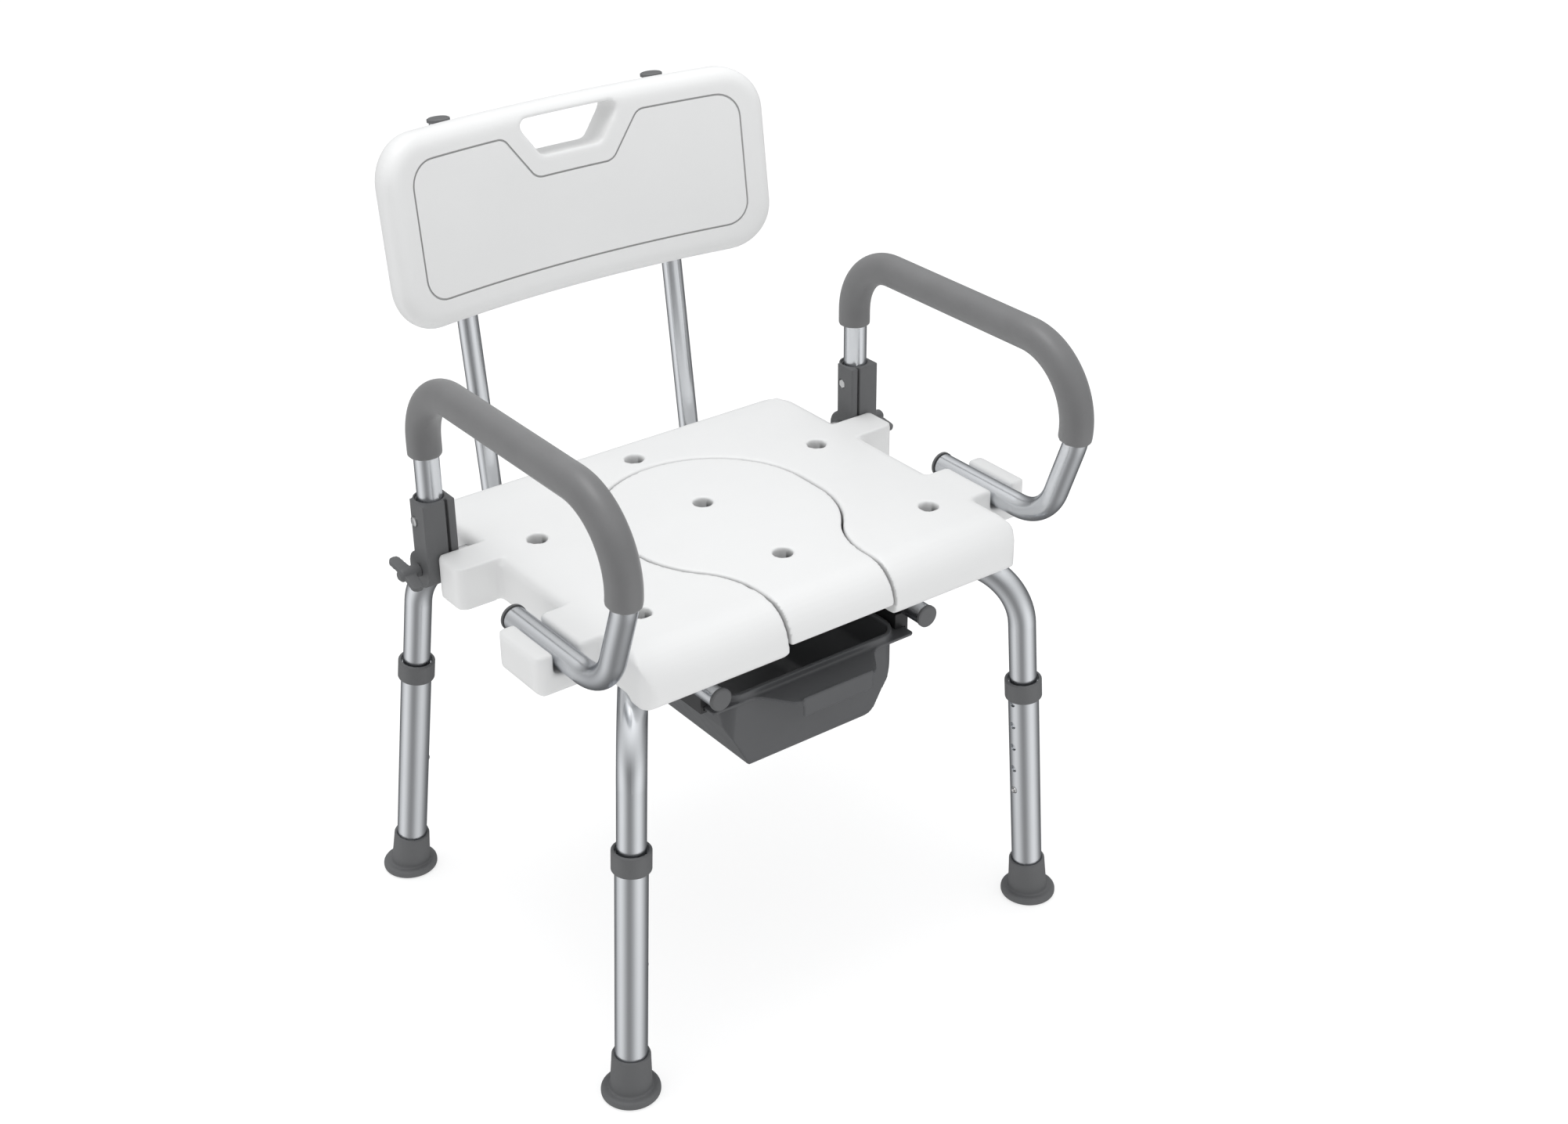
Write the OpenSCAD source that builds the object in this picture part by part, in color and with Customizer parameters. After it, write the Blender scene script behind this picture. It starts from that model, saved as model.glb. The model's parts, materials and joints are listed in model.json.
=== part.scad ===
// Shower and commode chair with a back, two swing-up arms, a lift-out seat insert and a slide-out pail.
// Millimetres, +Z up, the sitter faces -Y, the floor is z = 0.

/* [Seat] */
// width of the seat board across its straight sides
seat_w = 398; // [340:1:460]
// height of the seat's top face above the floor, legs fully in
seat_top = 418; // [380:1:480]
// thickness of the seat board
seat_t = 40; // [25:1:50]
// how far the front edge stands ahead of the middle of the feet
seat_front = 203; // [180:1:230]
// how far the rear edge stands behind the middle of the feet
seat_rear = 149.5; // [120:0.5:180]
// half width of the round opening
opening_r = 102; // [85:1:115]
// half width of the opening's neck
neck_half = 57; // [45:1:70]
// gap between the seat board and its insert
insert_gap = 1.6; // [1:0.1:3]
// radius of the drain holes
drain_r = 9; // [5:0.5:12]

/* [Legs] */
// radius of the upper leg tube
upper_r = 12.7; // [11:0.1:14]
// radius of the sliding lower leg tube
lower_r = 14.3; // [12.5:0.1:16]
// wall of the leg tubes
leg_wall = 1.5; // [1:0.1:2]
// height of the middle of the side frames' straight run
frame_z = 364; // [340:1:380]
// bend radius of the leg tubes
leg_bend = 60; // [45:1:75]
// height along the leg of the lowest adjusting hole
first_hole = 128; // [110:1:150]
// spacing of the adjusting holes
hole_pitch = 24.5; // [20:0.1:30]
// number of adjusting holes
hole_count = 5; // [3:1:6]
// radius of the adjusting holes
hole_r = 3.5; // [3:0.1:4.5]

/* [Back] */
// radius of the back tubes
post_r = 9.5; // [8:0.1:12]
// distance of the back tubes from the middle plane
post_x = 112; // [95:1:125]
// height of the middle of the pail rails
rail_z = 342.8; // [330:0.1:350]
// lean of the back from upright, degrees
recline = 7.27; // [0:0.1:15]
// length of the upright part of the back tube, measured from the bend's corner
post_l = 397; // [350:1:430]
// width of the backrest board
back_w = 398; // [340:1:440]
// height of the backrest board
back_h = 173; // [140:1:200]
// thickness of the backrest board
back_t = 35; // [20:1:40]
// radius that the backrest's front is curved to
back_curve = 723; // [500:1:1500]

/* [Arms] */
// distance of the arm tubes from the middle plane
arm_x = 232.5; // [220:0.5:250]
// radius of the arm tubes
arm_r = 11; // [9:0.1:13]
// wall of the arm and back tubes
tube_wall = 1.5; // [1:0.1:2]
// height of the middle of the armrest
arm_top = 576; // [540:1:620]
// height of the middle of the lower run that lies in the seat's cradle
arm_low = 408; // [400:1:420]
// radius of the foam grip
grip_r = 15; // [13:0.1:18]
// height of the arm pivot
pivot_z = 400; // [390:1:410]
// distance of the arm pivot behind the middle of the feet
pivot_y = 75.5; // [60:0.5:90]
// reach of the lock knob's wings
wing_reach = 24; // [18:0.5:30]
// how far the lock knob's wings stand turned from level, degrees
knob_turn = 12; // [0:1:90]

/* [Pail] */
// half width of the pail's flange
flange_half = 110; // [95:0.5:115]
// height of the flange's top face
flange_z = 320.5; // [310:0.5:330]
// height of the pail's floor underneath
pail_z = 240; // [200:1:270]
// wall of the pail
pail_wall = 2.5; // [1.5:0.1:4]

/* [Hidden] */
$fn = 48;
middle_y = 1.7;
front_foot = [232.6, -203.3, 0];
front_lean = [-15.9, 6.2, 248.7];
rear_foot = [225.5, 203.3, 0];
rear_lean = [-15.8, -26.8, 249];
leg_end = 92;
leg_top = 245;
tube_in_foot = 8.3;
frame_x = 140;
frame_front = -94;
frame_back = 74;
block_ys = [-60, 42];
seat_low = seat_top - seat_t;
insert_low = seat_low + 6;
lip_low = seat_low - 6;
flange_t = 3;
slot_gap = 0.35;
arm_path = [[pivot_y, 388], [pivot_y, arm_top], [-256.7, arm_top], [-195.5, arm_low], [-58.5, arm_low]];
arm_bends = [55, 65, 50];
bracket_r = 17;
bracket_half = 15.5;
bracket_top = 467;
bolt_z = 447;
knob_r = 6;
pail_slant = [28.5, 53]; // how far the pail's lower sides lean in, and over what height

seat_white = [0.93, 0.93, 0.92];
tube_silver = [0.78, 0.79, 0.8];
grip_grey = [0.42, 0.42, 0.42];
part_grey = [0.36, 0.37, 0.37];
pail_grey = [0.33, 0.34, 0.34];
pail_black = [0.1, 0.1, 0.1];
steel = [0.7, 0.7, 0.7];

function unit(v) = v / norm(v);

// points of the arc that rounds corner b, coming from a and leaving to c
function corner_arc(a, b, c, r, n) =
    r == 0 ? [b] :
    let (u = unit(a - b), v = unit(c - b), half = acos(u * v) / 2)
    let (m = b + unit(u + v) * r / sin(half), s = b + u * r / tan(half) - m)
    let (e = b + v * r / tan(half) - m, a0 = atan2(s.y, s.x), a1 = atan2(e.y, e.x))
    let (sweep = (a1 - a0 + 540) % 360 - 180)
    [for (i = [0:n]) m + r * [cos(a0 + sweep * i / n), sin(a0 + sweep * i / n)]];

// a closed outline with every corner rounded to its own radius
function rounded(points, radii, n = 6) =
    let (k = len(points))
    [for (i = [0:k - 1]) each corner_arc(points[(i + k - 1) % k], points[i], points[(i + 1) % k],
        radii[i], n)];

module in_place() {
    translate([0, middle_y, 0])
        children();
}

// 1 keeps the sitter's right-hand geometry as drawn at +X, -1 mirrors it to -X
module on_side(s) {
    mirror([s < 0 ? 1 : 0, 0, 0])
        children();
}

module both_sides() {
    on_side(1) children();
    on_side(-1) children();
}

// turns local +Z to direction v with no twist about it
module along(v) {
    turn = atan2(v.y, v.x);
    rotate([0, acos(v.z / norm(v)), turn])
        rotate([0, 0, -turn])
            children();
}

// how far before a corner its bend starts
function setback(points, bends, i) =
    bends[i - 1] * tan(turn_at(points, i) / 2);

function heading(points, i) = unit(points[i + 1] - points[i]);

function turn_at(points, i) = acos(heading(points, i - 1) * heading(points, i));

// the direction that the bar leans to at corner i, square to the way it arrives
function lean_at(points, i) =
    unit(heading(points, i) - heading(points, i - 1) * cos(turn_at(points, i)));

// turn about its own axis that the bar needs before corner i, coming from the bend before it
function twist_at(points, i) =
    let (z = heading(points, i - 1), y = unit(cross(heading(points, i - 2), z)), x = cross(y, z))
    let (to = lean_at(points, i))
    atan2(to * y, to * x);

function straight(points, bends, i) =
    norm(points[i + 1] - points[i]) - (i == 0 ? 0 : setback(points, bends, i))
    - (i == len(points) - 2 ? 0 : setback(points, bends, i + 1));

// run i of the tube, its bend and all that follows, starting at the origin and heading +Z;
// each bend is a hair fatter than the runs, which end half a millimetre inside it
module tube_from(points, bends, r, bore, i) {
    run = straight(points, bends, i);
    begin = i == 0 ? 0 : -0.5;
    finish = i == len(points) - 2 ? run : run + 0.5;
    translate([0, 0, begin])
        difference() {
            cylinder(r = r, h = finish - begin);
            translate([0, 0, -1])
                cylinder(r = bore, h = finish - begin + 2);
        }
    if (i < len(points) - 2) {
        bend = bends[i];
        angle = turn_at(points, i + 1);
        translate([0, 0, run])
            rotate([0, 0, i == 0 ? 0 : twist_at(points, i + 1)])
                translate([bend, 0, 0]) {
                    rotate([90, 0, 180])
                        rotate_extrude(angle = angle, $fn = 96)
                            translate([bend, 0])
                                difference() {
                                    circle(r = r + 0.02, $fn = 48);
                                    circle(r = bore - 0.02, $fn = 48);
                                }
                    rotate([0, angle, 0])
                        translate([-bend, 0, 0])
                            tube_from(points, bends, r, bore, i + 1);
                }
    }
}

// round tube through 3-D points, bent to each corner's radius
module bent_tube(points, bends, r, bore) {
    z = heading(points, 0);
    x = lean_at(points, 1);
    y = cross(z, x);
    at = points[0];
    multmatrix([[x.x, y.x, z.x, at.x], [x.y, y.y, z.y, at.y], [x.z, y.z, z.z, at.z],
        [0, 0, 0, 1]])
        tube_from(points, bends, r, bore, 0);
}

function lift(path, x) = [for (p = path) [x, p.x, p.y]];

module ring(r_out, r_in, h) {
    difference() {
        cylinder(r = r_out, h = h);
        translate([0, 0, -1])
            cylinder(r = r_in, h = h + 2);
    }
}

// flat plate with round corners, y0 to y1, its own radius in front and behind
module round_plate(half, y0, y1, r0, r1) {
    translate([-half, y0 + r0])
        square([half * 2, y1 - y0 - r0 - r1]);
    translate([r0 - half, y0])
        square([(half - r0) * 2, r0 + 1]);
    translate([r1 - half, y1 - r1 - 1])
        square([(half - r1) * 2, r1 + 1]);
    for (s = [-1, 1]) {
        translate([s * (half - r0), y0 + r0])
            circle(r = r0);
        translate([s * (half - r1), y1 - r1])
            circle(r = r1);
    }
}

module along_x(from, upto) {
    translate([from, 0, 0])
        rotate([90, 0, 90])
            linear_extrude(upto - from)
                children();
}

module along_y(from, upto) {
    translate([0, upto, 0])
        rotate([90, 0, 0])
            linear_extrude(upto - from)
                children();
}

module bore_x(from, upto, r) {
    translate([from, 0, 0])
        rotate([0, 90, 0])
            cylinder(r = r, h = upto - from);
}

// ---- seat ----

seat_profile = rounded(
    [[seat_rear, seat_low], [seat_rear, seat_top], [-seat_front, seat_top], [-seat_front, lip_low],
        [-seat_front + 24, lip_low], [-seat_front + 31, seat_low]],
    [5, 10, 34, 10, 4, 4], 9);

module seat_slab() {
    intersection() {
        translate([0, 0, lip_low - 1])
            linear_extrude(seat_t + 10)
                round_plate(seat_w / 2, -seat_front, seat_rear, 14, 38);
        along_x(-seat_w / 2 - 1, seat_w / 2 + 1)
            polygon(seat_profile);
        along_y(-seat_front - 1, seat_rear + 1)
            round_plate(seat_w / 2, lip_low - 8, seat_top, 3, 10);
    }
}

// the round opening with its neck running out at the front; grow widens it all round
module keyhole(grow) {
    fillet = 80;
    side = neck_half + fillet;
    drop = sqrt((opening_r + fillet) ^ 2 - side ^ 2);
    meet = [side, -drop] * ((opening_r + grow) / (opening_r + fillet));
    for (y = [-13, -37])
        translate([0, y])
            circle(r = opening_r + grow, $fn = 96);
    translate([-opening_r - grow, -37])
        square([(opening_r + grow) * 2, 24]);
    translate([-neck_half - grow, -seat_front - 20])
        square([(neck_half + grow) * 2, seat_front + 20 - 37 - drop + 5]);
    difference() {
        translate([-meet.x, -37 - drop])
            square([meet.x * 2, drop + meet.y - 0.2]);
        for (s = [-1, 1])
            translate([s * side, -37 - drop])
                circle(r = fillet - grow, $fn = 96);
    }
}

// shelf beside the seat that the rear end of the arm stands against
module ear() {
    translate([0, 0, seat_low])
        linear_extrude(seat_t)
            polygon(rounded([[190, 22], [239.5, 22], [239.5, 58], [190, 58]], [0, 9, 4, 0]));
}

// open-topped cradle that the arm's lower run lies in
module cradle() {
    inner = arm_x - arm_r - 1;
    outer = arm_x + arm_r + 1;
    intersection() {
        along_y(-140, -79)
            polygon(rounded([[190, seat_low + 2], [262, seat_low + 2], [262, seat_top - 1],
                [outer, seat_top - 1], [outer, arm_low - arm_r - 0.6],
                [inner, arm_low - arm_r - 0.6], [inner, seat_top], [190, seat_top]],
                [0, 9, 5, 3, 3, 3, 3, 0]));
        translate([0, 0, seat_low])
            linear_extrude(seat_t + 1)
                polygon(rounded([[190, -140], [262, -140], [262, -79], [190, -79]], [0, 7, 7, 0]));
    }
}

module seat_board() {
    color(seat_white)
        in_place()
            difference() {
                union() {
                    seat_slab();
                    both_sides() {
                        ear();
                        cradle();
                    }
                }
                translate([0, 0, insert_low - 0.3])
                    linear_extrude(seat_t)
                        keyhole(0);
                translate([0, 0, lip_low - 1])
                    linear_extrude(seat_t)
                        keyhole(-9);
                translate([-neck_half, -seat_front - 1, lip_low - 1])
                    cube([neck_half * 2, 40, seat_t]);
                for (p = [[-154, 33], [154, 33], [-154.5, -129], [154.5, -129], [0, 112]])
                    translate([p.x, p.y, seat_low - 1])
                        cylinder(r = drain_r, h = seat_t + 2);
                both_sides() {
                    for (y = block_ys)
                        translate([frame_x, y, seat_low - 1])
                            cylinder(r = 3.05, h = 26);
                    translate([0, pivot_y, pivot_z])
                        bore_x(178, seat_w / 2 + 1, 4.05);
                }
            }
}

module seat_insert() {
    color(seat_white)
        in_place()
            difference() {
                intersection() {
                    seat_slab();
                    translate([0, 0, insert_low])
                        linear_extrude(seat_t)
                            keyhole(-insert_gap);
                }
                for (y = [1.3, -117.5])
                    translate([0, y, insert_low - 1])
                        cylinder(r = drain_r, h = seat_t);
            }
}

// ---- leg frames and sliding lower legs ----

function leg_point(foot, lean, z) = foot + lean * (z / lean.z);

front_top = leg_point(front_foot, front_lean, frame_z);
rear_top = leg_point(rear_foot, rear_lean, frame_z);
frame_points = [front_foot + unit(front_lean) * leg_end, front_top,
    [frame_x, frame_front, frame_z], [frame_x, frame_back, frame_z],
    rear_top, rear_foot + unit(rear_lean) * leg_end];

module on_leg(foot, lean) {
    translate(foot)
        along(lean)
            children();
}

module hole_in_leg(h) {
    translate([-18, 0, h])
        rotate([0, 90, 0])
            cylinder(r = hole_r, h = 18);
}

module leg_frame() {
    difference() {
        bent_tube(frame_points, [leg_bend, leg_bend, leg_bend, leg_bend], upper_r,
            upper_r - leg_wall);
        on_leg(front_foot, front_lean)
            hole_in_leg(first_hole);
        on_leg(rear_foot, rear_lean)
            hole_in_leg(first_hole);
        for (y = block_ys)
            translate([frame_x, y, frame_z - upper_r - 1])
                cylinder(r = 3.05, h = upper_r * 2 + 2);
    }
}

module leg_frame_left() {
    color(tube_silver) in_place() on_side(-1) leg_frame();
}

module leg_frame_right() {
    color(tube_silver) in_place() on_side(1) leg_frame();
}

module lower_leg(foot, lean) {
    on_leg(foot, lean)
        difference() {
            translate([0, 0, tube_in_foot])
                ring(lower_r, upper_r + 0.1, leg_top - tube_in_foot);
            for (i = [0:hole_count - 1])
                hole_in_leg(first_hole + i * hole_pitch);
        }
}

module lower_leg_front_left() {
    color(tube_silver) in_place() on_side(-1) lower_leg(front_foot, front_lean);
}

module lower_leg_front_right() {
    color(tube_silver) in_place() on_side(1) lower_leg(front_foot, front_lean);
}

module lower_leg_rear_left() {
    color(tube_silver) in_place() on_side(-1) lower_leg(rear_foot, rear_lean);
}

module lower_leg_rear_right() {
    color(tube_silver) in_place() on_side(1) lower_leg(rear_foot, rear_lean);
}

// plastic ring round the top of a lower leg
module collar(foot, lean) {
    r = lower_r + 2.95;
    on_leg(foot, lean)
        rotate_extrude()
            polygon([[lower_r + 0.05, 229], [r - 0.8, 229], [r, 229.8], [r, 248], [r - 1, 249],
                [lower_r + 0.05, 249]]);
}

module collar_front_left() {
    color(part_grey) in_place() on_side(-1) collar(front_foot, front_lean);
}

module collar_front_right() {
    color(part_grey) in_place() on_side(1) collar(front_foot, front_lean);
}

module collar_rear_left() {
    color(part_grey) in_place() on_side(-1) collar(rear_foot, rear_lean);
}

module collar_rear_right() {
    color(part_grey) in_place() on_side(1) collar(rear_foot, rear_lean);
}

// rubber foot: a flat round base with a sleeve that follows the leg's lean
module foot(at, lean) {
    difference() {
        union() {
            translate(at)
                rotate_extrude() {
                    square([23.25, 8]);
                    translate([0, 3])
                        square([26.25, 2]);
                    for (z = [3, 5])
                        translate([23.25, z])
                            circle(r = 3, $fn = 24);
                }
            on_leg(at, lean)
                translate([0, 0, 4])
                    cylinder(r1 = 18.8, r2 = 17, h = 38);
        }
        on_leg(at, lean)
            translate([0, 0, tube_in_foot - 0.1])
                cylinder(r = lower_r + 0.05, h = 40);
    }
}

module foot_front_left() {
    color(part_grey) in_place() on_side(-1) foot(front_foot, front_lean);
}

module foot_front_right() {
    color(part_grey) in_place() on_side(1) foot(front_foot, front_lean);
}

module foot_rear_left() {
    color(part_grey) in_place() on_side(-1) foot(rear_foot, rear_lean);
}

module foot_rear_right() {
    color(part_grey) in_place() on_side(1) foot(rear_foot, rear_lean);
}

// push button on its folded leaf spring, inside the upper leg tube
module snap_button(foot, lean) {
    on_leg(foot, lean)
        translate([0, 0, first_hole]) {
            translate([-13.6, 0, 0])
                sphere(r = hole_r - 0.2, $fn = 32);
            translate([-13.6, 0, 0])
                rotate([0, 90, 0])
                    cylinder(r = hole_r - 0.2, h = 4);
            for (x = [-10.1, 4.4])
                translate([x, -4, -26])
                    cube([0.7, 8, 32]);
            translate([-2.5, 4, -26])
                rotate([90, 0, 0])
                    difference() {
                        cylinder(r = 7.6, h = 8);
                        translate([0, 0, -1])
                            cylinder(r = 6.9, h = 10);
                        translate([-10, 0, -1])
                            cube([20, 10, 10]);
                    }
        }
}

module snap_button_front_left() {
    color(steel) in_place() on_side(-1) snap_button(front_foot, front_lean);
}

module snap_button_front_right() {
    color(steel) in_place() on_side(1) snap_button(front_foot, front_lean);
}

module snap_button_rear_left() {
    color(steel) in_place() on_side(-1) snap_button(rear_foot, rear_lean);
}

module snap_button_rear_right() {
    color(steel) in_place() on_side(1) snap_button(rear_foot, rear_lean);
}

// ---- back ----

post_foot = [180, rail_z];
post_dir = [sin(recline), cos(recline)];
rail_front = -178;
board_low = 224.6;
screw_heights = [258, 345];
rivet_ys = [-120, -20, 92];

// local frame of the back: its origin is the bend's corner, +Z runs up the post
module on_back() {
    translate([0, post_foot.x, post_foot.y])
        rotate([-recline, 0, 0])
            children();
}

module back_tube() {
    path = [[rail_front, rail_z], post_foot, post_foot + post_dir * (post_l - 3)];
    difference() {
        bent_tube(lift(path, post_x), [50], post_r, post_r - tube_wall);
        on_back()
            for (z = screw_heights)
                translate([post_x, 0, z])
                    rotate([90, 0, 0])
                        cylinder(r = 2.6, h = 30, center = true);
        for (y = rivet_ys)
            translate([post_x - 4, y, rail_z - post_r - 1])
                cylinder(r = 2.05, h = post_r);
    }
}

module back_tube_left() {
    color(tube_silver) in_place() on_side(-1) back_tube();
}

module back_tube_right() {
    color(tube_silver) in_place() on_side(1) back_tube();
}

module end_cap(r) {
    cylinder(r = r + 0.8, h = 2.4);
    translate([0, 0, 2.4])
        cylinder(r1 = r + 0.8, r2 = r - 0.6, h = 0.8);
    translate([0, 0, -12])
        cylinder(r = r - tube_wall - 0.05, h = 12.5);
}

module rail_cap() {
    translate([post_x, rail_front - 0.05, rail_z])
        rotate([90, 0, 0])
            end_cap(post_r);
}

module rail_cap_left() {
    color(part_grey) in_place() on_side(-1) rail_cap();
}

module rail_cap_right() {
    color(part_grey) in_place() on_side(1) rail_cap();
}

module post_cap() {
    on_back()
        translate([post_x, 0, post_l - 2.95])
            end_cap(post_r);
}

module post_cap_left() {
    color(part_grey) in_place() on_side(-1) post_cap();
}

module post_cap_right() {
    color(part_grey) in_place() on_side(1) post_cap();
}

// front of the board at the middle plane stands this far ahead of the back tubes
board_ahead = 32.4;

module backrest() {
    low = board_low;
    high = board_low + back_h;
    half = back_w / 2;
    color(seat_white)
        in_place()
            on_back()
                difference() {
                    intersection() {
                        translate([0, -board_ahead - back_curve, low])
                            rotate([0, 0, 60])
                                rotate_extrude(angle = 60, $fn = 240)
                                    translate([back_curve + back_t / 2, 0])
                                        round_plate(back_t / 2, 0, back_h, 13, 13);
                        along_y(-120, 60)
                            translate([0, low])
                                round_plate(half, 0, back_h, 42, 42);
                    }
                    along_y(-120, 60)
                        polygon(rounded([[-56, high - 11], [56, high - 11], [31, low + 127],
                            [-31, low + 127]], [7, 7, 9, 9]));
                    intersection() {
                        translate([0, -board_ahead - back_curve, low])
                            cylinder(r = back_curve + 1, h = back_h, $fn = 240);
                        along_y(-120, 0)
                            polygon(rounded([[-172, low + 26], [172, low + 26], [172, high - 22],
                                [70, high - 22], [40, high - 63], [-40, high - 63],
                                [-70, high - 22], [-172, high - 22]],
                                [22, 22, 24, 12, 12, 12, 12, 24]));
                    }
                    both_sides() {
                        translate([post_x, 0, low - 1])
                            cylinder(r = post_r + 0.1, h = back_h + 2);
                        for (z = screw_heights)
                            translate([post_x, 0, z])
                                rotate([90, 0, 0])
                                    cylinder(r = 2.55, h = 29);
                    }
                }
}

module backrest_screws() {
    color(steel)
        in_place()
            on_back()
                both_sides()
                    for (z = screw_heights)
                        translate([post_x, post_r + 0.2, z])
                            rotate([90, 0, 0]) {
                                cylinder(r = 2.5, h = 36);
                                translate([0, 0, -2.4])
                                    cylinder(r1 = 3.5, r2 = 5, h = 2.4);
                            }
}

// ---- arms ----

// the grip stops a little before the front bend does
grip_turn = 100;
front_turn = 90 + atan2(arm_path[3].x - arm_path[2].x, arm_path[2].y - arm_path[3].y);
grip_reach = arm_bends[1] * tan(grip_turn / 2);
grip_corner = [arm_path[2].x + arm_bends[1] * tan(front_turn / 2) - grip_reach, arm_top];
grip_path = [[pivot_y, 506.5], arm_path[1], grip_corner,
    grip_corner - (grip_reach + 1) * [cos(grip_turn), sin(grip_turn)]];

module arm_tube() {
    difference() {
        bent_tube(lift(arm_path, arm_x), arm_bends, arm_r, arm_r - tube_wall);
        translate([0, pivot_y, pivot_z])
            bore_x(arm_x - 15, arm_x + 15, 4.1);
        translate([0, pivot_y, bolt_z])
            bore_x(arm_x - 15, arm_x + 15, 2.6);
    }
}

module arm_tube_left() {
    color(tube_silver) in_place() on_side(-1) arm_tube();
}

module arm_tube_right() {
    color(tube_silver) in_place() on_side(1) arm_tube();
}

module arm_grip() {
    bent_tube(lift(grip_path, arm_x), [arm_bends[0], arm_bends[1]], grip_r, arm_r + 0.05);
}

module arm_grip_left() {
    color(grip_grey) in_place() on_side(-1) arm_grip();
}

module arm_grip_right() {
    color(grip_grey) in_place() on_side(1) arm_grip();
}

module arm_end_cap() {
    translate([arm_x, arm_path[4].x + 0.05, arm_low])
        rotate([-90, 0, 0])
            end_cap(arm_r);
}

module arm_end_cap_left() {
    color(part_grey) in_place() on_side(-1) arm_end_cap();
}

module arm_end_cap_right() {
    color(part_grey) in_place() on_side(1) arm_end_cap();
}

// bracket that holds the arm's rear upright and turns on the pivot bolt
module arm_bracket() {
    difference() {
        union() {
            translate([0, pivot_y, pivot_z])
                bore_x(arm_x - bracket_half, arm_x + bracket_half, bracket_r);
            translate([arm_x, pivot_y, pivot_z])
                cylinder(r = arm_r + 3.2, h = bracket_top - pivot_z);
            // inner cheek, a slot, then the thick front and outer side
            translate([arm_x - bracket_half, pivot_y - bracket_r, pivot_z])
                cube([7, bracket_r + 6, bracket_top - pivot_z]);
            translate([arm_x - 6, pivot_y - bracket_r, pivot_z])
                cube([bracket_half + 6, bracket_r + 6, bracket_top - pivot_z]);
        }
        translate([arm_x, pivot_y, 387.9])
            cylinder(r = arm_r + 0.05, h = 100);
        translate([arm_x, pivot_y, bracket_top - 3])
            cylinder(r = arm_r + 1.6, h = 4);
        translate([0, pivot_y, pivot_z])
            bore_x(arm_x - 30, arm_x + 30, 4.1);
        translate([0, pivot_y, bolt_z]) {
            bore_x(arm_x - 30, arm_x + 30, 2.6);
            bore_x(arm_x - 30, arm_x - bracket_half + 3.5, 4.6);
        }
    }
}

module arm_bracket_left() {
    color(part_grey) in_place() on_side(-1) arm_bracket();
}

module arm_bracket_right() {
    color(part_grey) in_place() on_side(1) arm_bracket();
}

// bolt through bracket and tube, with its nut sunk in the inner face
module arm_bolt() {
    translate([0, pivot_y, bolt_z]) {
        bore_x(arm_x - bracket_half + 0.9, arm_x + bracket_half + 0.2, 2.5);
        bore_x(arm_x - bracket_half + 0.9, arm_x - bracket_half + 3.4, 4.4, $fn = 6);
        bore_x(arm_x + bracket_half + 0.1, arm_x + bracket_half + 1.4, 4.6);
        translate([arm_x + bracket_half + 1.4, 0, 0])
            rotate([0, 90, 0])
                cylinder(r1 = 4.6, r2 = 3, h = 0.9);
    }
}

module arm_bolt_left() {
    color(steel) in_place() on_side(-1) arm_bolt();
}

module arm_bolt_right() {
    color(steel) in_place() on_side(1) arm_bolt();
}

// winged knob whose bolt is the arm's pivot and locks it
module lock_knob() {
    face = arm_x + bracket_half;
    translate([0, pivot_y, pivot_z]) {
        bore_x(180, face + 8, 4);
        bore_x(face + 0.3, face + 18, knob_r);
        translate([face + 18, 0, 0])
            rotate([0, 90, 0])
                cylinder(r1 = knob_r, r2 = knob_r - 2.5, h = 2.4);
        rotate([knob_turn, 0, 0])
            translate([0, 0, -2.2])
                linear_extrude(4.4)
                    polygon(rounded([[face + 6, 5], [face + 8.5, wing_reach],
                        [face + 19, wing_reach], [face + 17, 5], [face + 17, -5],
                        [face + 19, -wing_reach], [face + 8.5, -wing_reach], [face + 6, -5]],
                        [3, 4, 5, 2, 2, 5, 4, 3]));
    }
}

module lock_knob_left() {
    color(part_grey) in_place() on_side(-1) lock_knob();
}

module lock_knob_right() {
    color(part_grey) in_place() on_side(1) lock_knob();
}

module pivot_spacer() {
    translate([seat_w / 2 + 0.1, pivot_y, pivot_z])
        rotate([0, 90, 0])
            ring(8, 4.1, arm_x - bracket_half - seat_w / 2 - 0.3);
}

module pivot_spacer_left() {
    color(steel) in_place() on_side(-1) pivot_spacer();
}

module pivot_spacer_right() {
    color(steel) in_place() on_side(1) pivot_spacer();
}

// ---- pail and its guides ----

module pail_body(in, top) {
    intersection() {
        along_y(-170, 120)
            polygon(rounded([[-95.5 + in, top], [-92.5 + in, pail_z + pail_slant.y + in / 2],
                [-64 + in, pail_z + in], [64 - in, pail_z + in],
                [92.5 - in, pail_z + pail_slant.y + in / 2], [95.5 - in, top]],
                [0, 9, 17 - in, 17 - in, 9, 0]));
        along_x(-100, 100)
            polygon(rounded([[-161 + in, top], [-157.5 + in, pail_z + in], [100 - in, pail_z + in],
                [112 - in, top]], [0, 16 - in, 16 - in, 0]));
        translate([0, 0, pail_z - 1])
            linear_extrude(100)
                round_plate(96.5 - in, -162 + in, 113 - in, 22 - in, 18 - in);
        // soft edges where the leaning sides meet the front and the rear
        for (s = [0, 1])
            mirror([s, 0, 0])
                translate([-92.5, 0, pail_z + pail_slant.y])
                    rotate([0, -atan(pail_slant.x / pail_slant.y), 0])
                        translate([1.2 * in - 0.8, 0, -120])
                            linear_extrude(320)
                                polygon(rounded([[0, -162 + in], [300, -162 + in],
                                    [300, 113 - in], [0, 113 - in]], [19 - in, 0, 0, 19 - in]));
    }
}

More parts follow.
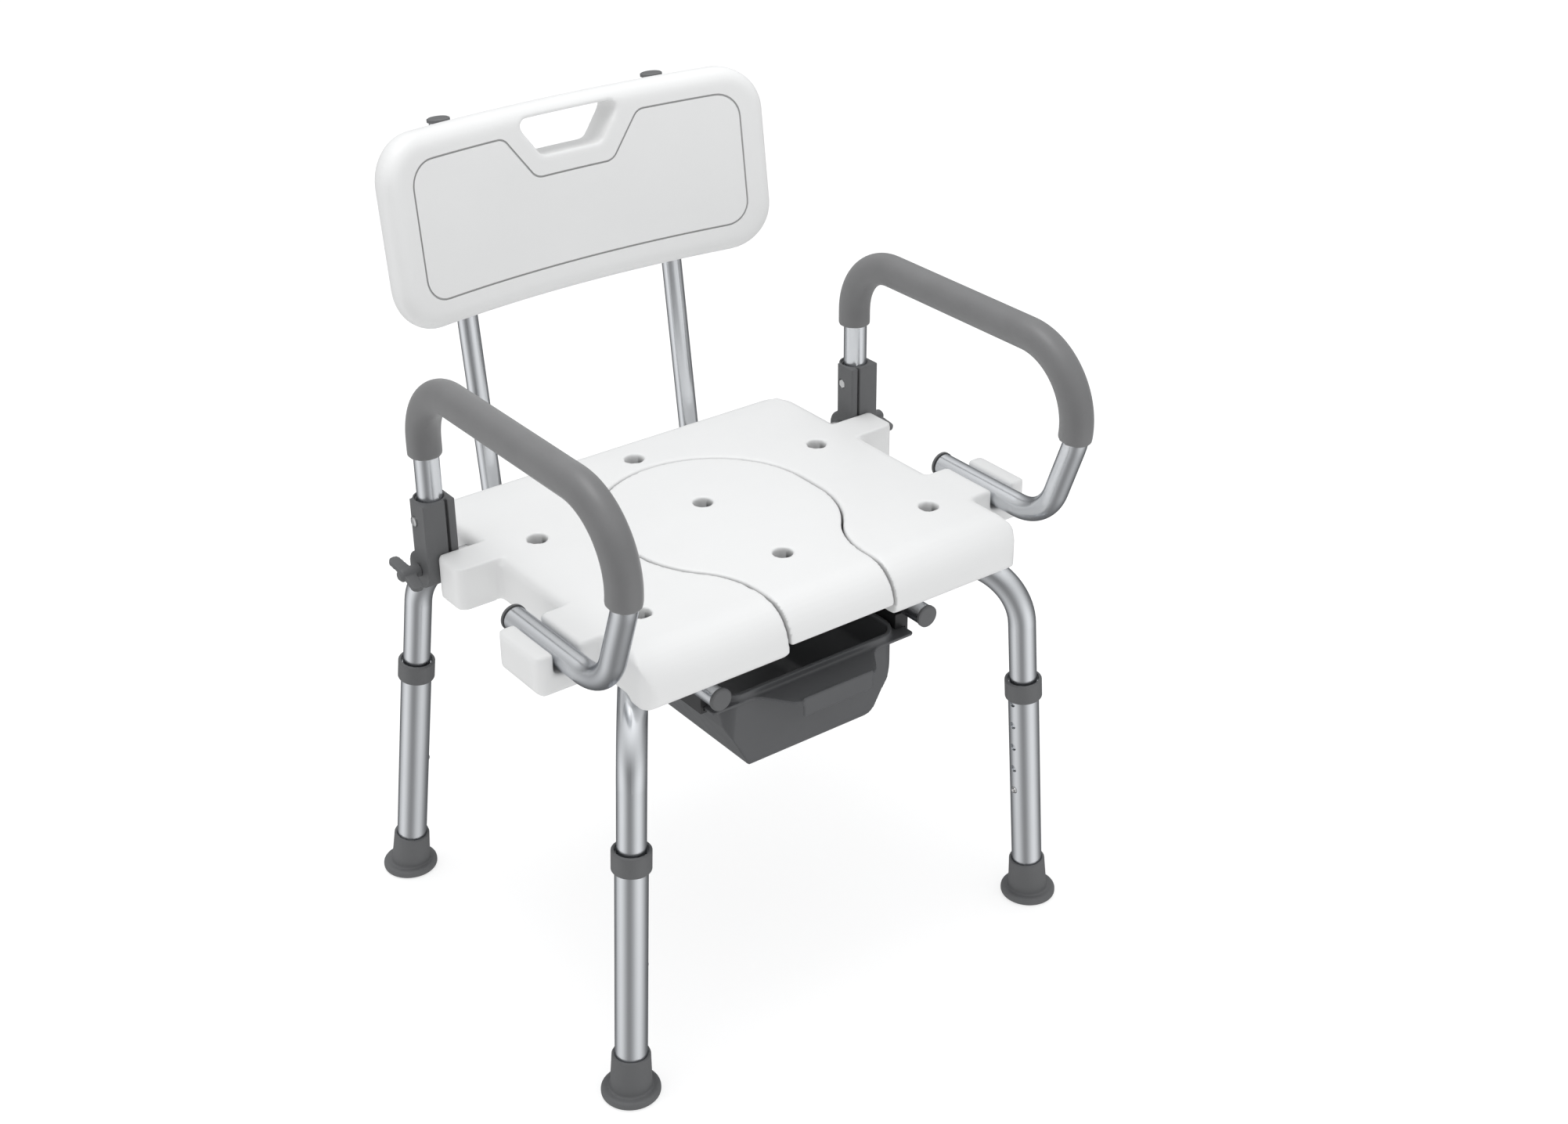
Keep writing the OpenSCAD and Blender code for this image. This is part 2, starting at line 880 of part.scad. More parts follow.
module pail() {
    low = flange_z - flange_t;
    color(pail_grey)
        in_place()
            difference() {
                union() {
                    pail_body(0, low + 0.5);
                    translate([0, 0, low])
                        linear_extrude(flange_t)
                            polygon(rounded([[flange_half, 118], [-flange_half, 118],
                                [-flange_half, -165], [-64, -165], [-42, -197], [42, -197],
                                [64, -165], [flange_half, -165]], [6, 6, 3, 16, 16, 16, 16, 3]));
                    translate([0, 0, flange_z - 0.5])
                        linear_extrude(6.5)
                            round_plate(97.4, -163, 115, 22, 20);
                    translate([-38, -197, 304.5])
                        cube([76, 2.4, 19]);
                }
                pail_body(pail_wall, flange_z + 10);
            }
}

// channel under a rail that the pail's flange slides in
module guide_rail() {
    slot_low = flange_z - flange_t - slot_gap;
    slot_high = flange_z + slot_gap;
    difference() {
        along_y(-152, 121.5)
            polygon([[103, slot_low - 2.5], [113.5, slot_low - 2.5], [113.5, 335.5], [99, 335.5],
                [99, slot_high], [110.7, slot_high], [110.7, slot_low], [103, slot_low]]);
        translate([0, -153, 0])
            along_y(0, 280)
                translate([post_x, rail_z])
                    circle(r = post_r + 0.05);
        for (y = rivet_ys)
            translate([post_x - 4, y, slot_high - 1])
                cylinder(r = 2.05, h = 20);
    }
    translate([103, 119, slot_low - 0.1])
        cube([8, 2.5, flange_t + 1]);
}

module guide_rail_left() {
    color(pail_black) in_place() on_side(-1) guide_rail();
}

module guide_rail_right() {
    color(pail_black) in_place() on_side(1) guide_rail();
}

module guide_rivets() {
    color(steel)
        in_place()
            both_sides()
                for (y = rivet_ys)
                    translate([post_x - 4, y, 0]) {
                        translate([0, 0, flange_z + slot_gap + 0.4])
                            cylinder(r = 2, h = 18.4);
                        translate([0, 0, 339.5])
                            cylinder(r = 3.2, h = 1.4);
                    }
}

// block that hangs a rail from a side frame
module saddle_block(y) {
    difference() {
        translate([99, y - 12, 336])
            cube([58, 24, seat_low - 336.3]);
        along_y(y - 13, y + 13)
            translate([frame_x, frame_z])
                circle(r = upper_r + 0.05);
        along_y(y - 13, y + 13)
            translate([post_x, rail_z])
                circle(r = post_r + 0.05);
        translate([frame_x, y, 330])
            cylinder(r = 3.05, h = 60);
    }
}

module saddle_blocks() {
    color(part_grey)
        in_place()
            both_sides()
                for (y = block_ys)
                    saddle_block(y);
}

module seat_bolts() {
    color(steel)
        in_place()
            both_sides()
                for (y = block_ys)
                    translate([frame_x, y, 332]) {
                        cylinder(r = 6, h = 3.8);
                        cylinder(r = 3, h = seat_low + 22 - 332);
                    }
}

seat_board();
seat_insert();
backrest();
back_tube_left();
back_tube_right();
rail_cap_left();
rail_cap_right();
post_cap_left();
post_cap_right();
leg_frame_left();
leg_frame_right();
lower_leg_front_left();
lower_leg_front_right();
lower_leg_rear_left();
lower_leg_rear_right();
collar_front_left();
collar_front_right();
collar_rear_left();
collar_rear_right();
foot_front_left();
foot_front_right();
foot_rear_left();
foot_rear_right();
snap_button_front_left();
snap_button_front_right();
snap_button_rear_left();
snap_button_rear_right();
arm_tube_left();
arm_tube_right();
arm_grip_left();
arm_grip_right();
arm_end_cap_left();
arm_end_cap_right();
arm_bracket_left();
arm_bracket_right();
arm_bolt_left();
arm_bolt_right();
lock_knob_left();
lock_knob_right();
pivot_spacer_left();
pivot_spacer_right();
pail();
guide_rail_left();
guide_rail_right();
saddle_blocks();
seat_bolts();
backrest_screws();
guide_rivets();
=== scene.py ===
# Shower commode chair: the looks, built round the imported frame. Metres, +Z up, the sitter faces -Y.
import json
import math
import bpy
import bmesh
from mathutils import Matrix, Vector
from mathutils.bvhtree import BVHTree


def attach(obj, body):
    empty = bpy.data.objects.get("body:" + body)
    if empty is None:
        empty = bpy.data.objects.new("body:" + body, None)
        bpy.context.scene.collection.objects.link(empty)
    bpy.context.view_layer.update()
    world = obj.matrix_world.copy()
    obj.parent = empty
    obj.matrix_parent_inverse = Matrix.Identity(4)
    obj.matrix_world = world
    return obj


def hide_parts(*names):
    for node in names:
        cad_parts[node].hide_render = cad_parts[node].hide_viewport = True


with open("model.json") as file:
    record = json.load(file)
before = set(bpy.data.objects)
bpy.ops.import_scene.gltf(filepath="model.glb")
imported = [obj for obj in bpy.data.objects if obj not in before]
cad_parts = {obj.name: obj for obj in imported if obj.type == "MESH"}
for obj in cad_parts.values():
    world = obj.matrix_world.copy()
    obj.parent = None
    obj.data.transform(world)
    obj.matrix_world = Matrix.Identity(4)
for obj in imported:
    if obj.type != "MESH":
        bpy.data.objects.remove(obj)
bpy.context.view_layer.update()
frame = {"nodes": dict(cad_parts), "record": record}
shownNodes = frame["nodes"]
bodyOfNode = {node: body for body, nodes in frame["record"]["behaviour"]["bodies"].items() for node in nodes}
slotOfNode = {s["node"]: s["material_slot"] for s in frame["record"]["subparts"]}
sides = ["left", "right"]
corners = ["front_left", "front_right", "rear_left", "rear_right"]
print("frame loaded:", len(shownNodes), "nodes")

# the near-black last colour here is no plastic but painted shade for the seat's joint, its drain holes and the
# back panel's groove
plasticFinish = {"white": (0.80, 0.802, 0.799), "grey": (0.12, 0.122, 0.125), "pail": (0.092, 0.094, 0.098),
                 "guide": (0.02, 0.02, 0.021), "seam": (0.1, 0.1, 0.1),
                 "grainSize": 1400, "grainDepth": 0.00002}
foamFinish = {"colour": (0.155, 0.155, 0.157), "cellSize": 1100, "cellDepth": 0.00005, "roughness": 0.42}
metalFinish = {"aluminium": (0.72, 0.735, 0.757), "steel": (0.66, 0.66, 0.66), "edge": (0.62, 0.63, 0.65),
               "roughness": 0.25}


def startMaterial(name):
    mat = bpy.data.materials.new(name)
    mat.use_nodes = True
    nodes, links = mat.node_tree.nodes, mat.node_tree.links
    shader = nodes["Principled BSDF"]
    coords = nodes.new("ShaderNodeTexCoord")
    return mat, nodes, links, shader, coords.outputs["Object"]


def noiseNode(nodes, links, where, scale, detail=4.0, roughness=0.55):
    noise = nodes.new("ShaderNodeTexNoise")
    noise.inputs["Scale"].default_value = scale
    noise.inputs["Detail"].default_value = detail
    noise.inputs["Roughness"].default_value = roughness
    links.new(where, noise.inputs["Vector"])
    return noise.outputs["Fac"]


def rangeNode(nodes, links, value, low, high, fromLow=0.3, fromHigh=0.7):
    remap = nodes.new("ShaderNodeMapRange")
    remap.inputs["From Min"].default_value = fromLow
    remap.inputs["From Max"].default_value = fromHigh
    remap.inputs["To Min"].default_value = low
    remap.inputs["To Max"].default_value = high
    links.new(value, remap.inputs["Value"])
    return remap.outputs["Result"]


def tintNode(nodes, links, value, dark, light):
    ramp = nodes.new("ShaderNodeValToRGB")
    ramp.color_ramp.elements[0].position = 0.3
    ramp.color_ramp.elements[1].position = 0.7
    ramp.color_ramp.elements[0].color = (*dark, 1)
    ramp.color_ramp.elements[1].color = (*light, 1)
    links.new(value, ramp.inputs["Fac"])
    return ramp.outputs["Color"]


def bumpNode(nodes, links, height, distance, strength, before=None):
    bump = nodes.new("ShaderNodeBump")
    bump.inputs["Distance"].default_value = distance
    bump.inputs["Strength"].default_value = strength
    links.new(height, bump.inputs["Height"])
    if before is not None:
        links.new(before, bump.inputs["Normal"])
    return bump.outputs["Normal"]


def shaded(colour, factor):
    return tuple(min(1, c * factor) for c in colour)


def mouldedPlastic(name, colour, roughness, spread=0.05, wear=0.04, seam=None):
    mat, nodes, links, shader, where = startMaterial(name)
    clouds = noiseNode(nodes, links, where, 9, 5)  # slow change of tone over a moulding
    tone = tintNode(nodes, links, clouds, shaded(colour, 1 - wear), shaded(colour, 1 + wear))
    if seam:  # painted shade laid into joints, drain holes and the back panel's groove, by the piece's own attribute
        shadeMask = nodes.new("ShaderNodeAttribute")
        shadeMask.attribute_name = "seam"
        mix = nodes.new("ShaderNodeMix")
        mix.data_type = "RGBA"
        links.new(shadeMask.outputs["Fac"], mix.inputs["Factor"])
        links.new(tone, mix.inputs["A"])
        mix.inputs["B"].default_value = (*seam, 1)
        tone = mix.outputs["Result"]
    links.new(tone, shader.inputs["Base Color"])
    patches = noiseNode(nodes, links, where, 55, 6)
    sheen = rangeNode(nodes, links, patches, roughness - spread, roughness + spread)
    links.new(sheen, shader.inputs["Roughness"])
    grain = noiseNode(nodes, links, where, plasticFinish["grainSize"], 2)
    waves = noiseNode(nodes, links, where, 38, 2)  # faint sink marks
    soft = bumpNode(nodes, links, waves, 0.0004, 0.12)
    links.new(bumpNode(nodes, links, grain, plasticFinish["grainDepth"], 0.5, soft), shader.inputs["Normal"])
    shader.inputs["Specular IOR Level"].default_value = 0.45
    return mat


def foamRubber(name):
    mat, nodes, links, shader, where = startMaterial(name)
    colour = foamFinish["colour"]
    clouds = noiseNode(nodes, links, where, 22, 6)
    tone = tintNode(nodes, links, clouds, shaded(colour, 0.93), shaded(colour, 1.07))
    links.new(tone, shader.inputs["Base Color"])
    cells = nodes.new("ShaderNodeTexVoronoi")
    cells.inputs["Scale"].default_value = foamFinish["cellSize"]
    links.new(where, cells.inputs["Vector"])
    swell = noiseNode(nodes, links, where, 60, 3)
    soft = bumpNode(nodes, links, swell, 0.0006, 0.15)
    pores = bumpNode(nodes, links, cells.outputs["Distance"], foamFinish["cellDepth"], 0.45, soft)
    links.new(pores, shader.inputs["Normal"])
    shader.inputs["Roughness"].default_value = foamFinish["roughness"]
    shader.inputs["Specular IOR Level"].default_value = 0.55
    shader.inputs["Sheen Weight"].default_value = 0.2
    shader.inputs["Sheen Roughness"].default_value = 0.5
    return mat


def drawnMetal(name, colour, roughness):
    mat, nodes, links, shader, where = startMaterial(name)
    haze = noiseNode(nodes, links, where, 7, 3)
    tone = tintNode(nodes, links, haze, shaded(colour, 0.985), shaded(colour, 1.015))
    links.new(tone, shader.inputs["Base Color"])
    scuffs = noiseNode(nodes, links, where, 40, 3)
    sheen = rangeNode(nodes, links, scuffs, roughness - 0.015, roughness + 0.02)
    links.new(sheen, shader.inputs["Roughness"])
    waves = noiseNode(nodes, links, where, 30, 1)  # tubes are never quite straight
    links.new(bumpNode(nodes, links, waves, 0.0002, 0.15), shader.inputs["Normal"])
    shader.inputs["Metallic"].default_value = 1.0
    shader.inputs["Specular Tint"].default_value = (*metalFinish["edge"], 1)
    return mat


finishes = {
    "seat_white": mouldedPlastic("whiteBlowMoulded", plasticFinish["white"], 0.42, 0.05, 0.012,
                                 plasticFinish["seam"]),
    "tube_silver": drawnMetal("anodisedTube", metalFinish["aluminium"], metalFinish["roughness"]),
    "part_grey": mouldedPlastic("greyMoulded", plasticFinish["grey"], 0.46, 0.06, 0.06),
    "foot_grey": mouldedPlastic("footRubber", plasticFinish["grey"], 0.62, 0.05, 0.08),
    "grip_grey": foamRubber("gripFoam"),
    "pail_grey": mouldedPlastic("pailPlastic", plasticFinish["pail"], 0.36, 0.06, 0.05),
    "guide_black": mouldedPlastic("guideBlack", plasticFinish["guide"], 0.38, 0.05, 0.05),
    "steel": drawnMetal("zincSteel", metalFinish["steel"], 0.3),
}
for node, obj in shownNodes.items():  # the CAD pieces whose shape is right keep it and take these finishes
    obj.data.materials.clear()
    obj.data.materials.append(finishes[slotOfNode[node]])
print("finishes ready:", len(finishes))


def mergedCopy(node):
    bm = bmesh.new()
    bm.from_mesh(shownNodes[node].data)
    bmesh.ops.remove_doubles(bm, verts=bm.verts, dist=0.000005)
    mesh = bpy.data.meshes.new(node + "Copy")
    bm.to_mesh(mesh)
    bm.free()
    return mesh


def makeObject(name, mesh):
    obj = bpy.data.objects.new(name, mesh)
    bpy.context.scene.collection.objects.link(obj)
    return obj


def settle(obj):  # applies what is live on obj
    bpy.context.view_layer.update()
    graph = bpy.context.evaluated_depsgraph_get()
    mesh = bpy.data.meshes.new_from_object(obj.evaluated_get(graph))
    obj.modifiers.clear()
    old = obj.data
    obj.data = mesh
    bpy.data.meshes.remove(old)
    return obj


def finishPiece(obj, node):
    obj.data.materials.clear()
    obj.data.materials.append(finishes[slotOfNode[node]])
    for face in obj.data.polygons:
        face.use_smooth = True
    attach(obj, bodyOfNode[node])
    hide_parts(node)
    return obj


# a moulding as it leaves the tool: no edge is sharp
def softened(node, name, cell, passes, keep=1.0):
    obj = makeObject(name, mergedCopy(node))
    remesh = obj.modifiers.new("cells", "REMESH")
    remesh.mode = "VOXEL"
    remesh.voxel_size = cell
    remesh.use_smooth_shade = True
    smooth = obj.modifiers.new("soften", "SMOOTH")
    smooth.factor = 0.5
    smooth.iterations = passes
    if keep < 1:
        thin = obj.modifiers.new("thin", "DECIMATE")
        thin.ratio = keep
    return settle(obj)


# seam and drain hold what the painted shade in the seat's joint and drain holes needs: how deep it starts, how
# soon it is full and how strong it is
seatLook = {"boardCell": 0.0022, "boardPasses": 3, "insertCell": 0.0018, "insertPasses": 6,
            "lipWidth": 0.0085, "lipPasses": 12, "lipLow": 0.384, "top": 0.418,
            "seam": {"reach": 0.0026, "from": 0.0015, "over": 0.006, "most": 0.35},
            "drain": {"radius": 0.0098, "from": 0.002, "over": 0.008, "most": 0.9, "wall": 0.6},
            "drains": [(-0.154, 0.033), (0.154, 0.033), (-0.1545, -0.129), (0.1545, -0.129),
                       (0, 0.112), (0, 0.0013), (0, -0.1175)]}


def treeOf(mesh):
    return BVHTree.FromPolygons([v.co for v in mesh.vertices], [p.vertices for p in mesh.polygons])


def paintShade(obj, other):  # paints shade into the joint with the other piece and onto the inside of each drain hole
    jointShade, drain = seatLook["seam"], seatLook["drain"]
    seam = obj.data.attributes.new("seam", "FLOAT", "POINT")
    for v in obj.data.vertices:
        depth = seatLook["top"] - v.co.z
        value = 0.0
        near = other.find_nearest(v.co, jointShade["reach"])
        if near[0] is not None:
            value = max(0, min(jointShade["most"], (depth - jointShade["from"]) / jointShade["over"]))
        if depth > drain["from"] and abs(v.normal.z) < drain["wall"]:
            for x, y in seatLook["drains"]:
                if math.hypot(v.co.x - x, v.co.y - y) < drain["radius"]:
                    value = max(value, min(drain["most"], (depth - drain["from"]) / drain["over"]))
        seam.data[v.index].value = value


seatBoard = softened("seat_board", "seatBoard", seatLook["boardCell"], seatLook["boardPasses"])
lipTree = treeOf(mergedCopy("seat_insert"))
lipGroup = seatBoard.vertex_groups.new(name="lip")
for v in seatBoard.data.vertices:
    near = lipTree.find_nearest(v.co, seatLook["lipWidth"])
    if near[0] is not None and v.co.z > seatLook["lipLow"]:
        lipGroup.add([v.index], 1.0, "REPLACE")
lipSmooth = seatBoard.modifiers.new("lip", "SMOOTH")
lipSmooth.vertex_group = "lip"
lipSmooth.iterations = seatLook["lipPasses"]
settle(seatBoard)
paintShade(seatBoard, lipTree)
finishPiece(seatBoard, "seat_board")
seatInsert = softened("seat_insert", "seatInsert", seatLook["insertCell"], seatLook["insertPasses"])
paintShade(seatInsert, treeOf(mergedCopy("seat_board")))
finishPiece(seatInsert, "seat_insert")
print("seat ready:", len(seatBoard.data.polygons), len(seatInsert.data.polygons))

# outlines are (across, up from the board's lower edge, corner radius); hold is the stretch round the hand hole
backLook = {"half": 0.199, "low": 0.2246, "high": 0.3976, "front": -0.0324, "thick": 0.035,
            "corner": 0.042, "round": 0.0155, "curve": 0.723, "foot": (0.1817, 0.3428), "lean": 7.27,
            "cell": 0.00165, "passes": 4,
            "hole": [(-0.056, 0.162, 0.007), (0.056, 0.162, 0.007),
                     (0.031, 0.127, 0.009), (-0.031, 0.127, 0.009)],
            "hold": (0.069, 0.115), "holePasses": 9,
            "panel": [(-0.172, 0.026, 0.022), (0.172, 0.026, 0.022), (0.172, 0.151, 0.024),
                      (0.07, 0.151, 0.012), (0.04, 0.11, 0.012), (-0.04, 0.11, 0.012),
                      (-0.07, 0.151, 0.012), (-0.172, 0.151, 0.024)],
            "groove": 0.0018, "grooveDepth": 0.002, "dust": 0.35, "reach": 0.05}


# a flat plate standing on its edge: corners are (x, z, radius), y runs through its thickness
def uprightPlate(corners, y0, thick, wide=None):
    bm = bmesh.new()
    verts = [bm.verts.new((x, y0, z)) for x, z, r in corners]
    bm.faces.new(verts)
    count = len(corners)
    for i, v in enumerate(list(verts)):
        into = (Vector(corners[i][:2]) - Vector(corners[i - 1][:2])).normalized()
        away = (Vector(corners[(i + 1) % count][:2]) - Vector(corners[i][:2])).normalized()
        half = math.acos(max(-1, min(1, into.dot(away)))) / 2
        bmesh.ops.bevel(bm, geom=[v], offset=corners[i][2] * math.tan(half), offset_type="OFFSET",
                        affect="VERTICES", segments=9, profile=0.5, material=-1)
    if wide:  # only a band along the outline is kept, in pieces short enough to be bowed
        bmesh.ops.subdivide_edges(bm, edges=[e for e in bm.edges if e.calc_length() > 0.03], cuts=30)
        bmesh.ops.inset_individual(bm, faces=list(bm.faces), thickness=wide, use_even_offset=True)
        inner = max(bm.faces, key=lambda f: f.calc_area())
        bmesh.ops.delete(bm, geom=[inner], context="FACES_ONLY")
    grown = bmesh.ops.extrude_face_region(bm, geom=list(bm.faces))
    moved = [g for g in grown["geom"] if isinstance(g, bmesh.types.BMVert)]
    bmesh.ops.translate(bm, verts=moved, vec=(0, thick, 0))
    bmesh.ops.recalc_face_normals(bm, faces=bm.faces)
    return bm


def meshOf(bm, name):
    mesh = bpy.data.meshes.new(name)
    bm.to_mesh(mesh)
    bm.free()
    return mesh


def carve(obj, bm):  # takes the shape in bm out of obj
    cutter = makeObject("cutter", meshOf(bm, "cutter"))
    boolean = obj.modifiers.new("carve", "BOOLEAN")
    boolean.operation = "DIFFERENCE"
    boolean.solver = "EXACT"
    boolean.object = cutter
    settle(obj)
    bpy.data.objects.remove(cutter)
    return obj


def raised(outline):  # from the board's lower edge to the height on the tubes
    return [(x, z + backLook["low"], r) for x, z, r in outline]


half, tall, corner = backLook["half"], backLook["high"] - backLook["low"], backLook["corner"]
edge = [(-half, 0, corner), (half, 0, corner), (half, tall, corner), (-half, tall, corner)]
bm = uprightPlate(raised(edge), backLook["front"], backLook["thick"])
rims = [e for e in bm.edges if abs(e.verts[0].co.y - e.verts[1].co.y) < 0.0001]
bmesh.ops.bevel(bm, geom=rims, offset=backLook["round"], offset_type="OFFSET", affect="EDGES", segments=8,
                profile=0.5, material=-1)
backBoard = makeObject("backBoard", meshOf(bm, "backBoard"))
carve(backBoard, uprightPlate(raised(backLook["hole"]), -0.06, 0.1))
cells = backBoard.modifiers.new("cells", "REMESH")
cells.mode = "VOXEL"
cells.voxel_size = backLook["cell"]
soften = backBoard.modifiers.new("soften", "SMOOTH")
soften.factor = 0.5
soften.iterations = backLook["passes"]
settle(backBoard)
holdWide, holdLow = backLook["hold"]
hold = backBoard.vertex_groups.new(name="hold")
hold.add([v.index for v in backBoard.data.vertices
          if abs(v.co.x) < holdWide and v.co.z > backLook["low"] + holdLow], 1.0, "REPLACE")
rounder = backBoard.modifiers.new("rounder", "SMOOTH")
rounder.vertex_group = "hold"
rounder.iterations = backLook["holePasses"]
settle(backBoard)
ringBm = uprightPlate(raised(backLook["panel"]), -backLook["reach"],
                      backLook["front"] + backLook["grooveDepth"] + backLook["reach"], backLook["groove"])
ringTree = BVHTree.FromBMesh(ringBm)
carve(backBoard, ringBm)
# painted shade on the floor of the panel's groove, where the recess falls dark
dust = backBoard.data.attributes.new("seam", "FLOAT", "POINT")
for v in backBoard.data.vertices:
    if v.co.y > backLook["front"] + 0.0004 and ringTree.find_nearest(v.co, 0.0002)[0] is not None:
        dust.data[v.index].value = backLook["dust"]
lean = math.radians(backLook["lean"])
footY, footZ = backLook["foot"]
for v in backBoard.data.vertices:  # the board is bowed, then leaned back with the tubes
    x, y, z = v.co
    y -= backLook["curve"] - math.sqrt(backLook["curve"] ** 2 - x * x)
    v.co.y = footY + y * math.cos(lean) + z * math.sin(lean)
    v.co.z = footZ - y * math.sin(lean) + z * math.cos(lean)
finishPiece(backBoard, "backrest")
backBoard.data.set_sharp_from_angle(angle=math.radians(40))
print("back ready:", len(backBoard.data.polygons))

# around: faces round a tube; step: degrees per ring in a bend; paths are (y, z) of the corners
tubeLook = {"around": 64, "step": 4, "wall": 0.0015,
            "arm": {"x": 0.2325, "radius": 0.011, "bends": [0.055, 0.065, 0.05],
                    "path": [(0.0755, 0.388), (0.0755, 0.576), (-0.2567, 0.576),
                             (-0.1955, 0.408), (-0.0585, 0.408)]},
            "back": {"x": 0.112, "radius": 0.0095, "bends": [0.05],
                     "path": [(-0.178, 0.3428), (0.18, 0.3428), (0.22986, 0.73363)]}}


# a tube bent in one upright plane: a ring is drawn along the straights and spun round the bends
def drawnTube(name, x, look):
    path = [Vector((x, y, z)) for y, z in look["path"]]
    axis = Vector((1, 0, 0))
    bm = bmesh.new()
    heading = (path[1] - path[0]).normalized()
    place = Matrix.Translation(path[0]) @ heading.to_track_quat("Z", "X").to_matrix().to_4x4()
    bmesh.ops.create_circle(bm, segments=tubeLook["around"], radius=look["radius"], matrix=place)
    ring = list(bm.edges)
    at = path[0]
    for i in range(1, len(path)):
        heading = (path[i] - path[i - 1]).normalized()
        turn = reach = 0
        if i < len(path) - 1:
            onward = (path[i + 1] - path[i]).normalized()
            turn = heading.angle(onward)
            reach = look["bends"][i - 1] * math.tan(turn / 2)
        goal = path[i] - heading * reach
        grown = bmesh.ops.extrude_edge_only(bm, edges=ring)["geom"]
        bmesh.ops.translate(bm, verts=[g for g in grown if isinstance(g, bmesh.types.BMVert)], vec=goal - at)
        ring = [g for g in grown if isinstance(g, bmesh.types.BMEdge)]
        at = goal
        if turn:
            sense = 1 if heading.cross(onward).x > 0 else -1
            centre = goal + (axis * sense).cross(heading) * look["bends"][i - 1]
            verts = list({v for e in ring for v in e.verts})
            last = bmesh.ops.spin(bm, geom=verts + ring, cent=centre, axis=axis * sense, angle=turn,
                                  steps=max(4, round(math.degrees(turn) / tubeLook["step"])))["geom_last"]
            ring = [g for g in last if isinstance(g, bmesh.types.BMEdge)]
            at = path[i] + onward * reach
    bmesh.ops.recalc_face_normals(bm, faces=bm.faces)
    bmesh.ops.solidify(bm, geom=list(bm.faces), thickness=tubeLook["wall"])
    return makeObject(name, meshOf(bm, name))


for side, sign in zip(sides, (-1, 1)):
    for node, part in (("arm_tube_", "arm"), ("back_tube_", "back")):
        tube = drawnTube(part + "Tube_" + side, sign * tubeLook[part]["x"], tubeLook[part])
        finishPiece(tube, node + side)
        tube.data.set_sharp_from_angle(angle=math.radians(40))
print("tubes ready")

armLook = {"gripCell": 0.0014, "gripPasses": 8, "bracketCell": 0.0008, "bracketPasses": 2,
           "knobCell": 0.0006, "knobPasses": 4}

for side in sides:
    grip = softened("arm_grip_" + side, "armGrip_" + side, armLook["gripCell"], armLook["gripPasses"])
    finishPiece(grip, "arm_grip_" + side)
    bracket = softened("arm_bracket_" + side, "armBracket_" + side,
                       armLook["bracketCell"], armLook["bracketPasses"])
    finishPiece(bracket, "arm_bracket_" + side)
    knob = softened("lock_knob_" + side, "lockKnob_" + side, armLook["knobCell"], armLook["knobPasses"])
    finishPiece(knob, "lock_knob_" + side)
print("arms ready")

pailLook = {"cell": 0.0012, "passes": 2, "keep": 0.3}

pailShell = softened("pail", "pailShell", pailLook["cell"], pailLook["passes"], pailLook["keep"])
finishPiece(pailShell, "pail")
print("pail ready:", len(pailShell.data.polygons))

legLook = {"collarCell": 0.0006, "collarPasses": 3, "footCell": 0.0009, "footPasses": 3}

for corner in corners:
    collar = softened("collar_" + corner, "collar_" + corner + "_ring",
                      legLook["collarCell"], legLook["collarPasses"])
    finishPiece(collar, "collar_" + corner)
    foot = softened("foot_" + corner, "foot_" + corner + "_tip", legLook["footCell"], legLook["footPasses"])
    finishPiece(foot, "foot_" + corner)
print("legs ready")

# a side lamp is where it lies, how tight it is and how strong
stageLook = {"floorHalf": 60.0, "backdrop": 1.0, "floorTone": 0.42, "floorGlow": 0.68,
             "skyLow": 0.2, "skyHigh": 1.2, "skyRise": 1.3,
             "sideLamps": [((-0.877, 0.337, -0.342), 4.5, 0.85), ((0.306, -0.888, -0.342), 4.0, 0.88)]}
lightLook = [  # name, place, aim, size, watts
    ("top", (-0.2, 0.1, 2.6), (0, 0, 0.4), 1.2, 13),
]


def makeFloor():
    bm = bmesh.new()
    bmesh.ops.create_grid(bm, x_segments=1, y_segments=1, size=stageLook["floorHalf"])
    floor = makeObject("floor", meshOf(bm, "floor"))
    mat = bpy.data.materials.new("paleFloor")
    mat.use_nodes = True
    shader = mat.node_tree.nodes["Principled BSDF"]
    tone = stageLook["floorTone"]
    shader.inputs["Base Color"].default_value = (tone, tone, tone, 1)
    shader.inputs["Roughness"].default_value = 0.9
    shader.inputs["Specular IOR Level"].default_value = 0.0
    shader.inputs["Emission Color"].default_value = (1, 1, 1, 1)
    shader.inputs["Emission Strength"].default_value = stageLook["floorGlow"]
    floor.data.materials.append(mat)
    floor.visible_glossy = False  # gloss sees the studio below the floor line instead
    return floor


